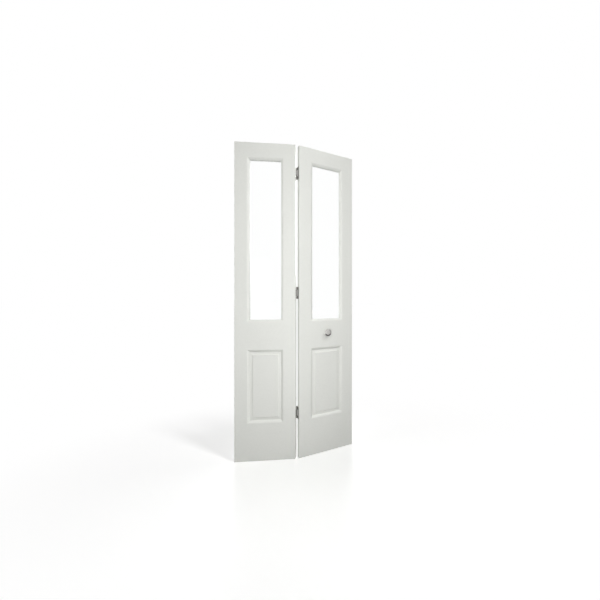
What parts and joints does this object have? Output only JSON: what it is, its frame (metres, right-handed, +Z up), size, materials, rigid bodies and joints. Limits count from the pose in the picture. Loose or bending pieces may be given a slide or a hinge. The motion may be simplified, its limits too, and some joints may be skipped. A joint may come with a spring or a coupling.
{
  "type": "bifold closet door",
  "caption": "Narrow folding closet door: two hinged painted leaves, each with a tall glazed lite over a raised panel, and a round knob on the guide leaf.",
  "frame": {"origin": "mouth of the bottom pivot bore, in the bottom end of the pivot leaf's outer stile, in the middle of its thickness", "axes": "+Z up; +X along the pivot leaf from its pivot edge to its hinge edge; -Y out of the pivot leaf's front face, where the knob side is"},
  "size_m": [0.7348, 0.1942, 2.007],
  "materials": {
    "white_paint": "smooth satin paint on timber",
    "clear_glass": "clear toughened float glass",
    "soft_rubber": "matt",
    "hinge_steel": "dull nickel plate on steel",
    "screw_steel": "dull nickel plate on steel",
    "satin_nickel": "satin nickel"
  },
  "bodies": {
    "pivot_leaf": {"pivot_leaf_outer_stile": "white_paint", "pivot_leaf_hinge_stile": "white_paint", "pivot_leaf_top_rail": "white_paint", "pivot_leaf_lock_rail": "white_paint", "pivot_leaf_bottom_rail": "white_paint", "pivot_leaf_raised_panel": "white_paint", "pivot_leaf_outer_glazing_stop": "white_paint", "pivot_leaf_hinge_glazing_stop": "white_paint", "pivot_leaf_top_glazing_stop": "white_paint", "pivot_leaf_bottom_glazing_stop": "white_paint", "pivot_leaf_glass_pane": "clear_glass", "pivot_leaf_setting_blocks": "soft_rubber", "top_hinge_inner_plate": "hinge_steel", "middle_hinge_inner_plate": "hinge_steel", "bottom_hinge_inner_plate": "hinge_steel"},
    "guide_leaf": {"guide_leaf_outer_stile": "white_paint", "guide_leaf_hinge_stile": "white_paint", "guide_leaf_top_rail": "white_paint", "guide_leaf_lock_rail": "white_paint", "guide_leaf_bottom_rail": "white_paint", "guide_leaf_raised_panel": "white_paint", "guide_leaf_outer_glazing_stop": "white_paint", "guide_leaf_hinge_glazing_stop": "white_paint", "guide_leaf_top_glazing_stop": "white_paint", "guide_leaf_bottom_glazing_stop": "white_paint", "guide_leaf_glass_pane": "clear_glass", "guide_leaf_setting_blocks": "soft_rubber", "top_hinge_outer_plate": "hinge_steel", "top_hinge_pin": "hinge_steel", "middle_hinge_outer_plate": "hinge_steel", "middle_hinge_pin": "hinge_steel", "bottom_hinge_outer_plate": "hinge_steel", "bottom_hinge_pin": "hinge_steel", "knob": "satin_nickel", "knob_bolt": "screw_steel"}
  },
  "joints": [
    {"name": "fold", "type": "hinge", "parent": "pivot_leaf", "child": "guide_leaf", "pos_m": [0.3515, 0.024, 1], "axis": [0, 0, 1], "range_deg": [-25, 150]}
  ]
}
